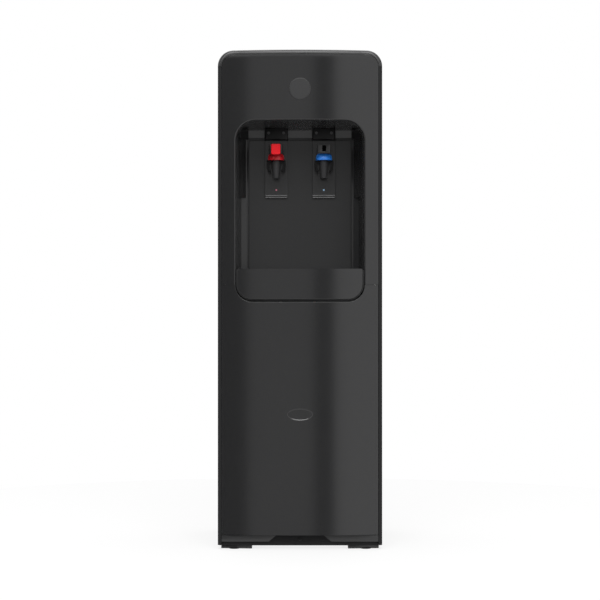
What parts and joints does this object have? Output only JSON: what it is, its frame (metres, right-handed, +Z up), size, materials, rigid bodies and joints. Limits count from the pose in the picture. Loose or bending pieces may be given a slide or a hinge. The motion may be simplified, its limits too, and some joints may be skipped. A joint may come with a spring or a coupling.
{
  "type": "plumbed-in water cooler",
  "caption": "Floor-standing plumbed-in water cooler with hot and cold lever taps over a bay with a slide-out drip tray.",
  "frame": {"origin": "on the floor, in the middle of the cooler's width and depth", "axes": "+Z up, +Y towards the rear and out of the water inlet, +X to the right seen from the front"},
  "size_m": [0.321, 0.34, 0.974],
  "materials": {
    "shell_steel": "black powder coat, satin",
    "fascia_plastic": "black moulded, semi-gloss",
    "bay_plastic": "black moulded, fine texture",
    "plate_plastic": "dark grey moulded, satin",
    "tap_plastic": "black moulded, semi-gloss",
    "red_plastic": "red moulded",
    "dark_red_plastic": "dark red moulded",
    "blue_plastic": "blue moulded",
    "lamp_red": "clear red lens",
    "lamp_blue": "clear blue lens",
    "stainless": "brushed",
    "zinc_sheet": "zinc plated",
    "foam": "moulded foam",
    "white_plastic": "moulded",
    "rubber": "moulded",
    "copper": "drawn copper tube",
    "black_paint": "black enamel"
  },
  "bodies": {
    "cabinet": {"base_pan": "zinc_sheet", "plinth": "fascia_plastic", "foot_blocks": "rubber", "left_side_panel": "shell_steel", "right_side_panel": "shell_steel", "top_cover": "shell_steel", "rear_upper_panel": "shell_steel", "rear_lower_panel": "shell_steel", "case_screws": "zinc_sheet", "upper_fascia": "fascia_plastic", "lower_panel": "fascia_plastic", "badge_disc": "plate_plastic", "bay_liner": "bay_plastic", "bay_back_plate": "plate_plastic", "tap_bezels": "plate_plastic", "tap_headers": "tap_plastic", "header_screws": "stainless", "hot_lamp": "lamp_red", "cold_lamp": "lamp_blue", "tap_bodies": "tap_plastic", "tap_nuts": "stainless", "hot_bonnet": "dark_red_plastic", "cold_bonnet": "blue_plastic", "lever_pins": "stainless", "tank_shelf": "zinc_sheet", "cold_tank": "stainless", "cold_insulation": "foam", "hot_tank": "stainless", "hot_insulation": "foam", "water_tubes": "white_plastic", "filter_head": "white_plastic", "inlet_valve": "white_plastic", "drain_spigot": "white_plastic", "compressor": "black_paint", "compressor_mounts": "rubber", "refrigerant_lines": "copper", "condenser_tube": "black_paint", "condenser_wires": "black_paint", "condenser_brackets": "zinc_sheet", "mains_inlet": "bay_plastic", "mains_pins": "stainless", "switch_plate": "bay_plastic"},
    "foot_front_left": {"foot_front_left": "rubber"},
    "foot_front_right": {"foot_front_right": "rubber"},
    "foot_rear_left": {"foot_rear_left": "rubber"},
    "foot_rear_right": {"foot_rear_right": "rubber"},
    "hot_lever": {"hot_lever": "tap_plastic"},
    "hot_catch": {"hot_catch": "red_plastic"},
    "hot_stem": {"hot_stem": "stainless"},
    "cold_lever": {"cold_lever": "tap_plastic"},
    "cold_stem": {"cold_stem": "stainless"},
    "drip_tray": {"drip_tray": "tap_plastic", "tray_front": "fascia_plastic"},
    "drip_grille": {"drip_grille": "bay_plastic"},
    "hot_rocker": {"hot_rocker": "red_plastic"},
    "cold_rocker": {"cold_rocker": "blue_plastic"},
    "thermostat_knob": {"thermostat_knob": "bay_plastic"},
    "drain_cap": {"drain_cap": "bay_plastic"},
    "filter_cartridge": {"filter_cartridge": "white_plastic"}
  },
  "joints": [
    {"name": "foot_front_left_thread", "type": "hinge", "parent": "cabinet", "child": "foot_front_left", "pos_m": [-0.1286, -0.1387, 0.02], "axis": [0, 0, 1], "continuous": true},
    {"name": "foot_front_right_thread", "type": "hinge", "parent": "cabinet", "child": "foot_front_right", "pos_m": [0.1286, -0.1387, 0.02], "axis": [0, 0, 1], "continuous": true},
    {"name": "foot_rear_left_thread", "type": "hinge", "parent": "cabinet", "child": "foot_rear_left", "pos_m": [-0.1286, 0.12, 0.02], "axis": [0, 0, 1], "continuous": true},
    {"name": "foot_rear_right_thread", "type": "hinge", "parent": "cabinet", "child": "foot_rear_right", "pos_m": [0.1286, 0.12, 0.02], "axis": [0, 0, 1], "continuous": true},
    {"name": "hot_lever_press", "type": "hinge", "parent": "cabinet", "child": "hot_lever", "pos_m": [-0.048, -0.056, 0.786], "axis": [1, 0, 0], "range_deg": [0, 15], "stiffness_Nm_per_rad": 0.8, "springref_deg": -5.73},
    {"name": "cold_lever_press", "type": "hinge", "parent": "cabinet", "child": "cold_lever", "pos_m": [0.048, -0.056, 0.786], "axis": [1, 0, 0], "range_deg": [0, 15], "stiffness_Nm_per_rad": 0.8, "springref_deg": -5.73},
    {"name": "hot_stem_slide", "type": "slide", "parent": "cabinet", "child": "hot_stem", "axis": [0, 0, -1], "range_m": [0, 0.0026]},
    {"name": "cold_stem_slide", "type": "slide", "parent": "cabinet", "child": "cold_stem", "axis": [0, 0, -1], "range_m": [0, 0.0026]},
    {"name": "hot_catch_slide", "type": "slide", "parent": "hot_lever", "child": "hot_catch", "axis": [0, 1, 0], "range_m": [0, 0.003], "stiffness_N_per_m": 400, "springref_m": -0.002},
    {"name": "drip_tray_slide", "type": "slide", "parent": "cabinet", "child": "drip_tray", "axis": [0, -1, 0], "range_m": [0, 0.14]},
    {"name": "drip_grille_lift", "type": "slide", "parent": "drip_tray", "child": "drip_grille", "axis": [0, 0, 1], "range_m": [0, 0.04]},
    {"name": "hot_rocker_rock", "type": "hinge", "parent": "cabinet", "child": "hot_rocker", "pos_m": [0.073, 0.146, 0.89], "axis": [1, 0, 0], "range_deg": [-16, 0]},
    {"name": "cold_rocker_rock", "type": "hinge", "parent": "cabinet", "child": "cold_rocker", "pos_m": [0.091, 0.146, 0.89], "axis": [1, 0, 0], "range_deg": [-16, 0]},
    {"name": "thermostat_turn", "type": "hinge", "parent": "cabinet", "child": "thermostat_knob", "pos_m": [0.115, 0.15, 0.89], "axis": [0, 1, 0], "range_deg": [0, 270]},
    {"name": "drain_cap_thread", "type": "hinge", "parent": "cabinet", "child": "drain_cap", "pos_m": [-0.04, 0.155, 0.072], "axis": [0, 1, 0], "continuous": true},
    {"name": "filter_twist", "type": "hinge", "parent": "cabinet", "child": "filter_cartridge", "pos_m": [-0.095, -0.075, 0.4], "axis": [0, 0, 1], "range_deg": [0, 90]}
  ],
  "couplings": [
    {"joint": "hot_stem_slide", "follows": "hot_lever_press", "m_per_rad": 0.009},
    {"joint": "cold_stem_slide", "follows": "cold_lever_press", "m_per_rad": 0.009}
  ]
}
